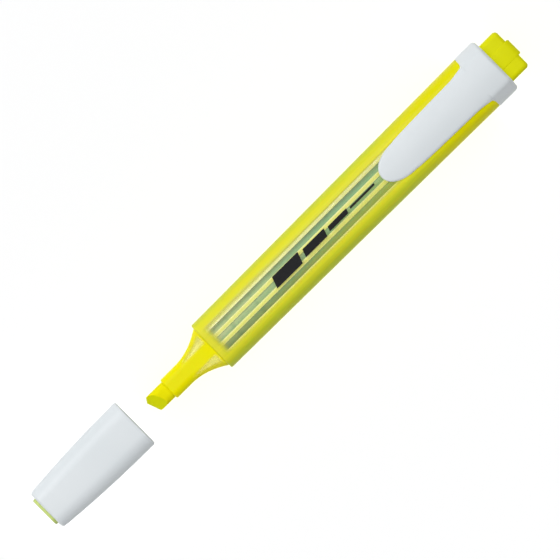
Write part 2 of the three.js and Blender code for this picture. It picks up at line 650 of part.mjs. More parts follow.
const cap = new THREE.Group();
cap.add(
  part('cap_shell', makeCapShell(), paleGrey),
  part('cap_liner', makeCapLiner(), inkYellow),
);

const highlighter = new THREE.Group();
highlighter.add(pen, cap);
highlighter.position.set(SHOULDER_X, 0, AXIS_Z);

export default highlighter;
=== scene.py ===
"""A flat pocket highlighter with its cap pulled off, lying on a pale floor.

Shapes are worked out in millimetres and made in metres. Places along the pen are given from the
barrel's front edge and grow towards the tail, and places in the cap from its mouth towards its
closed end. Heights are given from the pen's axis.
"""
import math

import bmesh
import bpy
from mathutils import Matrix, Vector


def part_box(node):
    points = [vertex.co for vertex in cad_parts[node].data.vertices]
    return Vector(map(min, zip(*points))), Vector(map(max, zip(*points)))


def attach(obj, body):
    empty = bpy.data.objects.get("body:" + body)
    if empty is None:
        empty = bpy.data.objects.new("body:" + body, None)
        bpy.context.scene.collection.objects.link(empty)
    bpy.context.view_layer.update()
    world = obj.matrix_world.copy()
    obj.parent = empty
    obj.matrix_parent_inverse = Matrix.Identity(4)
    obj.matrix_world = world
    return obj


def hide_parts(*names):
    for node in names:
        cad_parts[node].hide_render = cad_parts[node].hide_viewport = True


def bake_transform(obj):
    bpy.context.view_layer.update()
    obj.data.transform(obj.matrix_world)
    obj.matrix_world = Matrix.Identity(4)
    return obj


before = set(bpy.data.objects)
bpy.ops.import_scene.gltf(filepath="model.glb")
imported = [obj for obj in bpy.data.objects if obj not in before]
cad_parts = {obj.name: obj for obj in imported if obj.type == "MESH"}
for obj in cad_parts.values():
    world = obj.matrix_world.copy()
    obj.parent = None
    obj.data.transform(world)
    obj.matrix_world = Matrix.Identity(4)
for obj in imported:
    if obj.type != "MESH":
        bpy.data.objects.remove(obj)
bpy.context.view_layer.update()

MM = 0.001

# ---------------------------------------------------------------- sizes from the frame


def box_mm(node):
    low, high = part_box(node)
    return low / MM, high / MM


barrel_low, barrel_high = box_mm("barrel")
collar_low, collar_high = box_mm("clip_collar")
clip_low = box_mm("pocket_clip")[0]
plug_low, plug_high = box_mm("end_plug")
section_low, section_high = box_mm("front_section")
nib_low, nib_high = box_mm("nib")
film_low, film_high = box_mm("reservoir_film")
core_high = box_mm("ink_reservoir")[1]
shell_low, shell_high = box_mm("cap_shell")
liner_low, liner_high = box_mm("cap_liner")

SHOULDER_X = barrel_low.x
AXIS_Z = (barrel_low.z + barrel_high.z) / 2
HALF_HEIGHT = barrel_high.z - AXIS_Z
REAR_HALF_WIDTH = barrel_high.y
CORNER = HALF_HEIGHT * 0.75  # corner radius of the body's cross-section
BARREL_TAPER = 0.75  # the barrel's front is this much narrower than its rear on each side
FRONT_HALF_WIDTH = REAR_HALF_WIDTH - BARREL_TAPER
BARREL_WALL = 1.4
BARREL_END = barrel_high.x - SHOULDER_X
COLLAR_FRONT = collar_low.x - SHOULDER_X
COLLAR_REAR = collar_high.x - SHOULDER_X
COLLAR_HALF_WIDTH = collar_high.y
RIDGE_TOP = collar_high.z - AXIS_Z
CLIP_END = clip_low.x - SHOULDER_X
TAIL_END = plug_high.x - SHOULDER_X
PLUG_STEM = plug_low.x - SHOULDER_X
SLEEVE_MOUTH = section_low.x - SHOULDER_X
SKIRT_END = section_high.x - SHOULDER_X
NIB_TIP = nib_low.x - SHOULDER_X
NIB_TAIL = nib_high.x - SHOULDER_X
NIB_HALF_WIDTH = nib_high.y
NIB_HALF_HEIGHT = nib_high.z - AXIS_Z
FILM_RADIUS = film_high.y
FIBRE_RADIUS = core_high.y
RESERVOIR_START = film_low.x - SHOULDER_X
RESERVOIR_END = film_high.x - SHOULDER_X
CAP_MOUTH = shell_high.x - SHOULDER_X
CAP_LENGTH = shell_high.x - shell_low.x
CAP_HALF_WIDTH = shell_high.y
LINER_MOUTH = shell_high.x - liner_high.x
INLAY_RISE = shell_low.x - liner_low.x

# ---------------------------------------------------------------- mesh making

ARC_STEPS = 12
SHARP_ANGLE = math.radians(32)


def lerp(a, b, share):
    return a + (b - a) * share


def smooth_step(low, high, value):
    share = min(1.0, max(0.0, (value - low) / (high - low)))
    return share * share * (3 - 2 * share)


def steps(count):
    return [i / count for i in range(count + 1)]


def section(half_width, half_height, corner, arc=ARC_STEPS, flat=1, lower=None, power=2.0):
    """A rounded rectangle's (y, z) points, anticlockwise.

    flat is the pieces in each straight side, lower the lower corners' radius, and a power over 2
    makes the corners run into the flats without a line.
    """
    largest = min(half_width, half_height) - 0.01
    lower = corner if lower is None else lower
    corners = []
    for side_y, side_z, wanted in ((1, 1, corner), (-1, 1, corner), (-1, -1, lower), (1, -1, lower)):
        r = max(0.02, min(wanted, largest))
        corners.append((side_y * (half_width - r), side_z * (half_height - r), r))
    points = []
    for quarter, (cy, cz, r) in enumerate(corners):
        arc_points = [rounded(cy, cz, r, quarter + share, power) for share in steps(arc)]
        ny, nz, next_r = corners[(quarter + 1) % 4]
        end = rounded(ny, nz, next_r, quarter + 1, power)
        start = arc_points[-1]
        points += arc_points
        for i in range(1, flat):
            points.append((lerp(start[0], end[0], i / flat), lerp(start[1], end[1], i / flat)))
    return points


def rounded(cy, cz, r, quarters, power):
    """A point of a rounded corner, at an angle in quarter turns."""
    y, z = math.cos(quarters * math.pi / 2), math.sin(quarters * math.pi / 2)
    return tuple(centre + math.copysign(r * abs(part) ** (2 / power), part)
                 for centre, part in ((cy, y), (cz, z)))


def edge_round(face, inward, radius, outline, count=5):
    """Stations that round the edge of an end face; outline(inset) gives the cross-section."""
    stations = []
    for share in steps(count):
        angle = share * math.pi / 2
        inset = radius * (1 - math.sin(angle))
        stations.append((face + inward * radius * (1 - math.cos(angle)), outline(inset)))
    return stations


def loft(mesh, stations, ring=False, slot=0):
    """Adds the surface through stations of (along, points). A ring joins the last to the first."""
    loops = []
    for along, points in stations:
        loops.append([mesh.verts.new((SHOULDER_X + along, y, AXIS_Z + z)) for y, z in points])
    pairs = list(zip(loops, loops[1:]))
    if ring:
        pairs.append((loops[-1], loops[0]))
    faces = []
    for near, far in pairs:
        for i in range(len(near)):
            j = (i + 1) % len(near)
            faces.append(mesh.faces.new((near[i], near[j], far[j], far[i])))
    if not ring:
        faces.append(mesh.faces.new(list(reversed(loops[0]))))
        faces.append(mesh.faces.new(loops[-1]))
    for face in faces:
        face.material_index = slot
    return faces


def block(mesh, low, high, soft=0.08, slot=0):
    """A box between two corners, with softened edges."""
    size = [h - l for l, h in zip(low, high)]
    centre = [(l + h) / 2 for l, h in zip(low, high)]
    made = bmesh.ops.create_cube(mesh, size=1)
    for vert in made["verts"]:
        x, y, z = (c + s * v for c, s, v in zip(centre, size, vert.co))
        vert.co = (SHOULDER_X + x, y, AXIS_Z + z)
    edges = list({e for v in made["verts"] for e in v.link_edges})
    bevelled = bmesh.ops.bevel(mesh, geom=edges, offset=soft, segments=2, affect="EDGES", profile=0.5)
    for face in {f for v in bevelled["verts"] for f in v.link_faces}:
        face.material_index = slot


def line_inside(faces, outside, count, slot=1):
    """Gives the inside of a ring loft, but not its two end faces, the second material."""
    for face in faces[len(outside) * count:-count]:
        face.material_index = slot


def finish_mesh(name, mesh, materials, clear=None, sharp=SHARP_ANGLE):
    """Turns a bmesh in millimetres into an object in metres, shaded smooth up to the sharp angle.

    clear(along, y, z) gives each point's clearness from 0 to 1, which clear plastics read.
    """
    bmesh.ops.remove_doubles(mesh, verts=mesh.verts, dist=0.0005)
    bmesh.ops.recalc_face_normals(mesh, faces=mesh.faces)
    for face in mesh.faces:
        face.smooth = True
    for edge in mesh.edges:
        edge.smooth = len(edge.link_faces) == 2 and edge.calc_face_angle(0) < sharp
    if clear:
        layer = mesh.verts.layers.float.new("clear")
        for vert in mesh.verts:
            vert[layer] = clear(vert.co.x - SHOULDER_X, vert.co.y, vert.co.z - AXIS_Z)
    bmesh.ops.scale(mesh, vec=(MM, MM, MM), verts=mesh.verts)
    data = bpy.data.meshes.new(name)
    mesh.to_mesh(data)
    mesh.free()
    for material in materials:
        data.materials.append(material)
    piece = bpy.data.objects.new(name, data)
    bpy.context.scene.collection.objects.link(piece)
    return piece


# ---------------------------------------------------------------- material making


class Shader:
    """A node material under construction: add() makes a node and sets or links its inputs."""

    def __init__(self, name):
        self.material = bpy.data.materials.new(name)
        self.material.use_nodes = True
        self.tree = self.material.node_tree
        self.tree.nodes.clear()
        self.place = self.add("ShaderNodeTexCoord").outputs["Object"]

    def add(self, kind, settings=None, **inputs):
        node = self.tree.nodes.new(kind)
        for key, value in (settings or {}).items():
            setattr(node, key, value)
        for key, value in inputs.items():
            name = key.replace("_", " ")
            socket = node.inputs[name] if name in node.inputs else node.inputs[int(key[1:])]
            if isinstance(value, bpy.types.NodeSocket):
                self.tree.links.new(value, socket)
            else:
                socket.default_value = value
        return node

    def noise(self, scale, detail=3.0, stretch=(1, 1, 1), roughness=0.5):
        moved = self.add("ShaderNodeMapping", Vector=self.place, Scale=stretch)
        made = self.add("ShaderNodeTexNoise", Vector=moved.outputs["Vector"], Scale=scale,
                        Detail=detail, Roughness=roughness)
        return made.outputs["Fac"]

    def spread(self, value, low, high, start=0.3, end=0.7):
        """Maps a value from start..end to low..high, held at both ends."""
        made = self.add("ShaderNodeMapRange", Value=value, From_Min=start, From_Max=end,
                        To_Min=low, To_Max=high)
        return made.outputs["Result"]

    def mix_colour(self, share, first, second):
        made = self.add("ShaderNodeMix", {"data_type": "RGBA"}, i0=share, i6=first, i7=second)
        return made.outputs[2]

    def bump(self, height, strength, distance):
        made = self.add("ShaderNodeBump", Height=height, Strength=strength, Distance=distance)
        return made.outputs["Normal"]

    def attribute(self, name):
        return self.add("ShaderNodeAttribute", {"attribute_name": name}).outputs["Fac"]

    def math(self, operation, first, second):
        made = self.add("ShaderNodeMath", {"operation": operation}, i0=first, i1=second)
        return made.outputs["Value"]

    def mix(self, share, first, second):
        made = self.add("ShaderNodeMixShader", i0=share, i1=first, i2=second)
        return made.outputs["Shader"]

    def surface(self, shader):
        self.add("ShaderNodeOutputMaterial", Surface=shader)
        return self.material


def colour(red, green, blue):
    """A screen colour, 0 to 255, as a shader's linear colour."""
    def linear(value):
        share = value / 255
        return share / 12.92 if share <= 0.04045 else ((share + 0.055) / 1.055) ** 2.4
    return (linear(red), linear(green), linear(blue), 1.0)


def moulded_plastic(name, base, shade, roughness, glow=0.0, shine=0.5):
    """An opaque moulded plastic: slight colour drift, fine satin grain and uneven gloss."""
    s = Shader(name)
    drift = s.mix_colour(s.spread(s.noise(60, 2), 0.0, 1.0), base, shade)
    gloss = s.spread(s.noise(900, 4), roughness - 0.05, roughness + 0.06)
    grain = s.bump(s.noise(5200, 3), 0.25, 0.00002)
    # glow is a faint emission of the base colour: painted light that lifts the plastic's shade, partly
    # standing in for a yellow dye's fluorescence
    body = s.add("ShaderNodeBsdfPrincipled", Base_Color=drift, Roughness=gloss, Normal=grain,
                 Specular_IOR_Level=shine, Emission_Color=base, Emission_Strength=glow)
    return s.surface(body.outputs["BSDF"])


def dye_and_shade_colour(s, dye, side, rear, streak):
    """A dye's colour with painted shade: darker and greener towards the sides, starting nearer the
    middle on -Y, purer over the end plug's stem, and streaked.
    """
    place = s.add("ShaderNodeSeparateXYZ", Vector=s.place)
    # painted shade: the tone turns darker and greener towards the sides, measured from a middle set 0.7
    # mm towards +Y
    across = s.math("ABSOLUTE", s.math("SUBTRACT", place.outputs["Y"], 0.7 * MM), 0.0)
    tone = s.mix_colour(s.spread(across, 0.0, 1.0, 5.3 * MM, 6.6 * MM), dye, side)
    over_stem = s.spread(place.outputs["X"], 0.0, 1.0, (SHOULDER_X + 64) * MM, (SHOULDER_X + 80) * MM)
    tone = s.mix_colour(over_stem, tone, rear)
    streaks = s.noise(900, 4, (0.04, 1, 1), 0.6)
    return s.mix_colour(s.spread(streaks, 0.0, 0.45, 0.5, 0.75), tone, streak)


def clear_plastic(name, dyes_and_shade, tint, roughness, thin, thick, glow, shine, veil=0.0):
    """A clear dyed plastic: where a point's clearness is 1 it is see-through, where 0 it is dyed.

    thin and thick are the dyed shares there, and veil is how much dye the clear part has in streaks.
    """
    s = Shader(name)
    tone = dye_and_shade_colour(s, *dyes_and_shade)
    gloss = s.spread(s.noise(700, 3), roughness - 0.03, roughness + 0.05)
    wave = s.bump(s.noise(420, 2, (0.2, 1, 1)), 0.12, 0.00006)
    # glow is an emission of the dye's own tone: partly the dye's fluorescence, partly painted light
    # that lifts its shade
    dyed = s.add("ShaderNodeBsdfPrincipled", Base_Color=tone, Roughness=0.38, Normal=wave,
                 Specular_IOR_Level=shine, Subsurface_Weight=0.1, Subsurface_Scale=0.0012,
                 Emission_Color=tone, Emission_Strength=glow)
    see_through = s.add("ShaderNodeBsdfTransparent", Color=tint)
    reflection = s.add("ShaderNodeBsdfGlossy", Color=(1, 1, 1, 1), Roughness=gloss, Normal=wave)
    fresnel = s.add("ShaderNodeFresnel", IOR=1.5, Normal=wave).outputs["Fac"]
    clear = s.mix(fresnel, see_through.outputs["BSDF"], reflection.outputs["BSDF"])
    share = s.spread(s.attribute("clear"), thick, thin, 0.0, 1.0)
    streaks = s.spread(s.noise(620, 4, (0.035, 1, 1), 0.6), 0.0, veil, 0.42, 0.7)
    return s.surface(s.mix(s.math("ADD", share, streaks), clear, dyed.outputs["BSDF"]))


def inner_wall(name, tint, milk_glow, most, glow):
    """The inside of a clear wall: it tints what is behind it, and its lower half is milky and glows,
    which is painted light standing in for light scattered in the plastic.
    """
    s = Shader(name)
    height = s.add("ShaderNodeSeparateXYZ", Vector=s.place).outputs["Z"]
    lower = s.spread(height, most, 0.0, (AXIS_Z - 1.0) * MM, (AXIS_Z + 0.5) * MM)
    haze = s.math("MULTIPLY", lower, s.spread(s.noise(260, 3, (0.2, 1, 1)), 0.7, 1.0))
    clear = s.add("ShaderNodeBsdfTransparent", Color=tint)
    milky = s.add("ShaderNodeBsdfPrincipled", Base_Color=milk_glow, Roughness=0.7,
                  Specular_IOR_Level=0.1, Emission_Color=milk_glow, Emission_Strength=glow)
    return s.surface(s.mix(haze, clear.outputs["BSDF"], milky.outputs["BSDF"]))


def rib_moulding(name, core, rim_highlight, glow):
    """The ribs seen through the wall, with painted highlights: their two edges are painted lighter than
    their middle, and they glow faintly.
    """
    s = Shader(name)
    across = s.add("ShaderNodeSeparateXYZ", Vector=s.place).outputs["Y"]
    shifted = s.math("SUBTRACT", across, RIB_PLACES[0] * MM)
    offset = s.math("PINGPONG", shifted, RIB_PITCH / 2 * MM)
    edge = s.spread(offset, 0.0, 1.0, 0.18 * MM, 0.42 * MM)
    uneven = s.spread(s.noise(500, 3, (0.08, 1, 1)), 0.55, 1.0)
    drift = s.mix_colour(s.math("MULTIPLY", edge, uneven), core, rim_highlight)
    body = s.add("ShaderNodeBsdfPrincipled", Base_Color=drift, Roughness=0.35,
                 Normal=s.bump(s.noise(900, 2, (0.1, 1, 1)), 0.06, 0.00003),
                 Emission_Color=rim_highlight, Emission_Strength=glow)
    return s.surface(body.outputs["BSDF"])


def fibre(name, base, shade, scale, stretch, depth, glow=0.0):
    """Bundled or pressed fibre: fine strands along the part, uneven colour and no gloss."""
    s = Shader(name)
    strands = s.noise(scale, 5, stretch, 0.65)
    patches = s.noise(350, 3)
    tone = s.math("ADD", s.math("MULTIPLY", strands, 0.6), s.math("MULTIPLY", patches, 0.4))
    drift = s.mix_colour(s.spread(tone, 0.0, 1.0, 0.35, 0.65), shade, base)
    relief = s.bump(strands, 0.5, depth)
    # glow is a faint emission of the base colour: partly the ink's fluorescence, partly painted light
    # that lifts the fibre's shade
    body = s.add("ShaderNodeBsdfPrincipled", Base_Color=drift, Roughness=0.85, Normal=relief,
                 Specular_IOR_Level=0.1, Emission_Color=base, Emission_Strength=glow)
    return s.surface(body.outputs["BSDF"])


def film(name, front, rear, shade, band, band_places):
    """The reservoir's wrap: paler in front, with streaks along it and a faint ring at each place."""
    s = Shader(name)
    streaks = s.noise(900, 3, (0.04, 1, 1), 0.6)
    along = s.add("ShaderNodeSeparateXYZ", Vector=s.place).outputs["X"]
    change = s.spread(along, 0.0, 1.0, (SHOULDER_X + 4) * MM, (SHOULDER_X + 42) * MM)
    drift = s.mix_colour(change, front, rear)
    drift = s.mix_colour(s.spread(streaks, 0.0, 0.45), drift, shade)
    half_band = 0.9 * MM
    for place in band_places:
        offset = s.math("ABSOLUTE", s.math("SUBTRACT", along, (SHOULDER_X + place) * MM), 0.0)
        share = s.spread(offset, 0.4, 0.0, 0.0, half_band)
        drift = s.mix_colour(share, drift, band)
    # The fixed emission is painted light that lifts the wrap's shade between the ribs
    body = s.add("ShaderNodeBsdfPrincipled", Base_Color=drift, Roughness=0.4,
                 Normal=s.bump(streaks, 0.15, 0.00005), Emission_Color=drift,
                 Emission_Strength=0.12)
    return s.surface(body.outputs["BSDF"])


def printed_ink(name):
    """Black ink, a little uneven, with fine pinholes where it sits on the plastic."""
    s = Shader(name)
    drift = s.mix_colour(s.noise(2500, 3), (0.006, 0.006, 0.007, 1), (0.018, 0.018, 0.02, 1))
    gloss = s.spread(s.noise(1500, 3), 0.55, 0.7)
    body = s.add("ShaderNodeBsdfPrincipled", Base_Color=drift, Roughness=gloss,
                 Specular_IOR_Level=0.15, Normal=s.bump(s.noise(6000, 2), 0.2, 0.00001))
    return s.surface(body.outputs["BSDF"])


def floor_paint(name):
    s = Shader(name)
    drift = s.mix_colour(s.noise(3, 2), (0.95, 0.95, 0.95, 1), (0.97, 0.97, 0.97, 1))
    body = s.add("ShaderNodeBsdfDiffuse", Color=drift)
    return s.surface(body.outputs["BSDF"])


white_plastic = moulded_plastic("white_plastic", colour(220, 225, 228), colour(216, 222, 225),
                                roughness=0.42)
# A clear plastic's colours are its main tone, its sides' painted shade, the stretch over the plug's
# stem and its streaks.
barrel_dyes_and_shade = (colour(218, 216, 44), colour(192, 203, 44), colour(216, 211, 0), colour(224, 206, 34))
barrel_plastic = clear_plastic("barrel_plastic", barrel_dyes_and_shade, (0.98, 0.99, 0.96, 1), roughness=0.2,
                               thin=0.07, thick=0.94, glow=0.06, shine=0.12, veil=0.16)
barrel_inside = inner_wall("barrel_inside", (0.98, 0.99, 0.96, 1), colour(228, 226, 90),
                           most=0.3, glow=0.05)
section_dyes_and_shade = (colour(232, 225, 0), colour(214, 214, 0), colour(232, 225, 0), colour(228, 222, 0))
section_plastic = clear_plastic("section_plastic", section_dyes_and_shade, (0.99, 0.99, 0.85, 1), roughness=0.3,
                                thin=0.12, thick=0.98, glow=0.06, shine=0.06)
section_inside = inner_wall("section_inside", (1.0, 1.0, 0.93, 1), colour(240, 236, 130),
                            most=0.9, glow=0.3)
nib_felt = fibre("nib_felt", colour(232, 224, 0), colour(224, 216, 0), scale=1600,
                 stretch=(0.22, 1, 1), depth=0.00003, glow=0.04)
# The cut face glows more than the felt: painted light that lifts the bevel's shade
nib_cut = fibre("nib_cut", colour(222, 225, 0), colour(212, 216, 0), scale=2600,
                stretch=(1, 1, 1), depth=0.00003, glow=0.1)
reservoir_fibre = fibre("reservoir_fibre", colour(160, 190, 120), colour(120, 160, 100), scale=2200,
                        stretch=(0.05, 1, 1), depth=0.00005)
film_wrap = film("film_wrap", colour(170, 186, 156), colour(112, 168, 142), colour(90, 154, 134),
                 band=colour(86, 140, 120), band_places=(7.6, 15.9))
plug_plastic = moulded_plastic("plug_plastic", colour(216, 216, 0), colour(210, 211, 0),
                               roughness=0.55, glow=0.05, shine=0.1)
liner_plastic = moulded_plastic("liner_plastic", colour(196, 212, 120), colour(188, 206, 110),
                                roughness=0.5)
print_ink = printed_ink("print_ink")

# ---------------------------------------------------------------- the barrel

BORE_HALF_HEIGHT = HALF_HEIGHT - BARREL_WALL
BORE_CORNER = CORNER - BARREL_WALL
SPIGOT_HALF_WIDTH = REAR_HALF_WIDTH - 0.8
SPIGOT_HALF_HEIGHT = HALF_HEIGHT - 0.7
SPIGOT_CORNER = CORNER - 0.7
LIP_LENGTH = 4.0  # the barrel's front stretch, where the clearness changes
EDGE = 0.4  # softened outer edges of the mouldings
BODY_POWER = 2.3  # how softly the body's corners run into its flats
CLEAR_SIDES = ((4.0, 5.0), (3.2, 4.3))  # on +Y and on -Y, the flats are clear and the sides dyed


def barrel_half_width(along):
    return lerp(FRONT_HALF_WIDTH, REAR_HALF_WIDTH, along / COLLAR_FRONT)


def barrel_outline(along, inset=0.0):
    return section(barrel_half_width(along) - inset, HALF_HEIGHT - inset, CORNER - inset,
                   power=BODY_POWER)


def bore_outline(along):
    return section(barrel_half_width(along) - BARREL_WALL, BORE_HALF_HEIGHT, BORE_CORNER,
                   power=BODY_POWER)


def barrel_clear(along, y, z):
    """Clear over the ribs; dyed at the sides, at the front lip and over the end plug's stem."""
    lengthwise = smooth_step(1.0, 3.6, along) * (1 - smooth_step(PLUG_STEM - 1, PLUG_STEM + 1, along))
    return lengthwise * (1 - smooth_step(*CLEAR_SIDES[y < 0], abs(y)))


def make_barrel():
    mesh = bmesh.new()
    outside = edge_round(0, 1, EDGE, lambda inset: barrel_outline(0, inset))
    places = [lerp(EDGE, LIP_LENGTH, share) for share in steps(8)[1:]]
    places += [lerp(LIP_LENGTH, COLLAR_FRONT, share) for share in steps(40)[1:]]
    outside += [(along, barrel_outline(along)) for along in places]
    spigot = section(SPIGOT_HALF_WIDTH, SPIGOT_HALF_HEIGHT, SPIGOT_CORNER, power=BODY_POWER)
    outside += [(COLLAR_FRONT, spigot), (BARREL_END, spigot)]
    inside = [(BARREL_END, bore_outline(COLLAR_FRONT)), (COLLAR_FRONT, bore_outline(COLLAR_FRONT)),
              (0, bore_outline(0))]
    faces = loft(mesh, outside + inside, ring=True)
    line_inside(faces, outside, len(spigot))
    return finish_mesh("barrel_shell", mesh, [barrel_plastic, barrel_inside], barrel_clear)


# Ribs in the bore, over and under the reservoir and on the side walls.
RIB_START = 2.1
RIB_END = RESERVOIR_END - 0.2
RIB_WIDTH = 1.1
RIB_PITCH = 2.6
RIB_PLACES = [step * RIB_PITCH for step in (-1.5, -0.5, 0.5, 1.5)]
RIB_TIP_RADIUS = FILM_RADIUS + 0.12
RIB_HEIGHT = 1.1
RIB_SINK = 0.02  # ribs end just clear of the wall they stand on, so that no faces coincide


# The second colour is the ribs' painted edge highlight, and 0.12 their glow, which is painted light too
rib_plastic = rib_moulding("rib_plastic", colour(234, 229, 100), colour(254, 247, 185), 0.12)


def bore_height(y):
    """The bore's half height at a distance from the middle, where it is narrowest."""
    into_corner = max(0.0, y - (FRONT_HALF_WIDTH - BARREL_WALL - BORE_CORNER)) / BORE_CORNER
    return BORE_HALF_HEIGHT - BORE_CORNER * (1 - (1 - into_corner ** BODY_POWER) ** (1 / BODY_POWER))


def make_ribs():
    mesh = bmesh.new()
    for y in RIB_PLACES:
        root = bore_height(abs(y) + RIB_WIDTH / 2) - RIB_SINK
        nearest = abs(y) - RIB_WIDTH / 2
        tip = math.sqrt(max(0, RIB_TIP_RADIUS ** 2 - nearest ** 2))
        tip = max(tip, BORE_HALF_HEIGHT - RIB_HEIGHT)
        left, right = y - RIB_WIDTH / 2, y + RIB_WIDTH / 2
        block(mesh, (RIB_START, left, tip), (RIB_END, right, root))
        block(mesh, (RIB_START, left, -root), (RIB_END, right, -tip))
    side_root = FRONT_HALF_WIDTH - BARREL_WALL - RIB_SINK
    for near, far in ((RIB_TIP_RADIUS, side_root), (-side_root, -RIB_TIP_RADIUS)):
        block(mesh, (RIB_START, near, -RIB_WIDTH / 2), (RIB_END, far, RIB_WIDTH / 2))
    return finish_mesh("barrel_ribs", mesh, [rib_plastic])


# ---------------------------------------------------------------- front section, nib and reservoir

SLEEVE_HALF_WIDTH = 3.1
SLEEVE_HALF_HEIGHT = 2.95
SLEEVE_CORNER = 1.9
FLARE_START = -9.9
FLANGE_HALF_WIDTH = section_high.y
FLANGE_HALF_HEIGHT = section_high.z - AXIS_Z
FLANGE_CORNER = 3.3
FLARE_WALL = 0.85
SKIRT_INSET = 1.4  # the skirt's hollow lies this far inside the flange's outline
FLARE_FLAT = 12  # faces across each flat, so that the clearness can change there
NIB_CORNER = 1.9
NIB_LOWER_CORNER = 0.45
NIB_STEP = -8.8  # where the nib narrows to its tail
NIB_TAIL_HALF_WIDTH = 1.55
NIB_TAIL_HALF_HEIGHT = 1.5
FIT = 0.12


def flare_outline(share, inset=0.0):
    grow = share * share
    return section(lerp(SLEEVE_HALF_WIDTH, FLANGE_HALF_WIDTH, grow) - inset,
                   lerp(SLEEVE_HALF_HEIGHT, FLANGE_HALF_HEIGHT, grow) - inset,
                   lerp(SLEEVE_CORNER, FLANGE_CORNER, grow) - inset * 0.5, flat=FLARE_FLAT)


def flare_clear(along, y, z):
    """Clear over the flare's hollow, dyed along its edges, over the nib's tail and the sleeve. The dye
    over the nib's tail is painted light: it shows the tail bright where it lies in shade.
    """
    share = max(0.0, (along - FLARE_START) / -FLARE_START)
    half_width = lerp(SLEEVE_HALF_WIDTH, FLANGE_HALF_WIDTH, min(1.0, share) ** 2)
    across = smooth_step(NIB_TAIL_HALF_WIDTH, NIB_TAIL_HALF_WIDTH + 0.8, abs(y))
    across *= 1 - smooth_step(0.62, 0.95, abs(y) / half_width)
    return across * smooth_step(0.05, 0.45, share) * (1 - smooth_step(0.9, 1.0, share))


def make_front_section():
    mesh = bmesh.new()
    shares = steps(28)
    ledge = -0.06
    skirt = section(FRONT_HALF_WIDTH - BARREL_WALL - FIT, BORE_HALF_HEIGHT - FIT, BORE_CORNER - FIT,
                    flat=FLARE_FLAT)
    skirt_inside = section(FLANGE_HALF_WIDTH - SKIRT_INSET, FLANGE_HALF_HEIGHT - SKIRT_INSET,
                           FLANGE_CORNER - SKIRT_INSET, flat=FLARE_FLAT)

    def channel(gap):
        return section(NIB_HALF_WIDTH + gap, NIB_HALF_HEIGHT + gap, NIB_CORNER,
                       flat=FLARE_FLAT, lower=NIB_LOWER_CORNER)

    outside = edge_round(SLEEVE_MOUTH, 1, EDGE, lambda inset: flare_outline(0, inset))
    outside += [(lerp(FLARE_START, ledge, t), flare_outline(t)) for t in shares]
    outside += [(ledge, skirt), (SKIRT_END, skirt)]
    inside = [(SKIRT_END, skirt_inside), (ledge, skirt_inside)]
    hollow_start = 0.125
    inside += [(lerp(FLARE_START, ledge, t), flare_outline(t, FLARE_WALL))
               for t in reversed(shares[:-1]) if t >= hollow_start]
    inside += [(NIB_STEP + 0.15, channel(FIT)), (SLEEVE_MOUTH + 0.25, channel(FIT)),
               (SLEEVE_MOUTH, channel(FIT + 0.1))]
    faces = loft(mesh, outside + inside, ring=True)
    line_inside(faces, outside, len(skirt))
    return finish_mesh("section_shell", mesh, [section_plastic, section_inside], flare_clear)


# The nib's bevel: it crosses the axis at BEVEL_CENTRE, moves forward with +Y and back with height.
BEVEL_CENTRE, BEVEL_FORWARD, BEVEL_RISE = -19.5, 0.38, 0.73
TIP_Y = 1.15  # the foremost corner of the writing edge
EDGE_BACK = -20.3  # where the edge leaves the bar on the -Y side
EDGE_CHAMFER = -20.6  # and on the +Y side


def slice_off(mesh, point, normal):
    """Cuts away everything on the side that the normal points to, and closes the cut."""
    geometry = list(mesh.verts) + list(mesh.edges) + list(mesh.faces)
    x, y, z = point
    cut = bmesh.ops.bisect_plane(mesh, geom=geometry, dist=0.0005, clear_outer=True,
                                 plane_co=(SHOULDER_X + x, y, AXIS_Z + z), plane_no=normal)
    edges = [g for g in cut["geom_cut"] if isinstance(g, bmesh.types.BMEdge)]
    bmesh.ops.edgenet_fill(mesh, edges=edges)


def make_nib():
    mesh = bmesh.new()
    bar = section(NIB_HALF_WIDTH, NIB_HALF_HEIGHT, NIB_CORNER, lower=NIB_LOWER_CORNER)
    tail = section(NIB_TAIL_HALF_WIDTH, NIB_TAIL_HALF_HEIGHT, NIB_TAIL_HALF_HEIGHT)
    tail_round = edge_round(NIB_TAIL, -1, 0.3, lambda inset: section(
        NIB_TAIL_HALF_WIDTH - inset, NIB_TAIL_HALF_HEIGHT - inset, NIB_TAIL_HALF_HEIGHT - inset))
    loft(mesh, [(NIB_TIP - 2, bar), (NIB_STEP, bar), (NIB_STEP, tail)] + tail_round[::-1])
    slice_off(mesh, (BEVEL_CENTRE, 0, 0), (-1, -BEVEL_FORWARD, BEVEL_RISE))
    slice_off(mesh, (NIB_TIP, TIP_Y, 0), (-(NIB_HALF_WIDTH + TIP_Y), NIB_TIP - EDGE_BACK, 0))
    slice_off(mesh, (NIB_TIP, TIP_Y, 0), (-(NIB_HALF_WIDTH - TIP_Y), EDGE_CHAMFER - NIB_TIP, 0))
    worn = [e for e in mesh.edges if e.calc_length() > 0.25 and e.calc_face_angle(0) > 0.4
            and max(v.co.x for v in e.verts) < SHOULDER_X + NIB_STEP - 1]
    bmesh.ops.bevel(mesh, geom=worn, offset=0.1, segments=3, affect="EDGES", profile=0.5)
    bevel = Vector((-1, -BEVEL_FORWARD, BEVEL_RISE)).normalized()
    mesh.normal_update()
    for face in mesh.faces:
        if face.normal.dot(bevel) > 0.97:
            face.material_index = 1
    return finish_mesh("nib_bar", mesh, [nib_felt, nib_cut])


ROUND_BAR_STEPS = 16  # pieces in each quarter of a round bar


def round_bar(radius, arc=ROUND_BAR_STEPS):
    return section(radius, radius, radius, arc)


def closed_end(arc=ARC_STEPS):
    """A section so small that it closes the end of a hollow."""
    return section(0.05, 0.05, 0.04, arc)


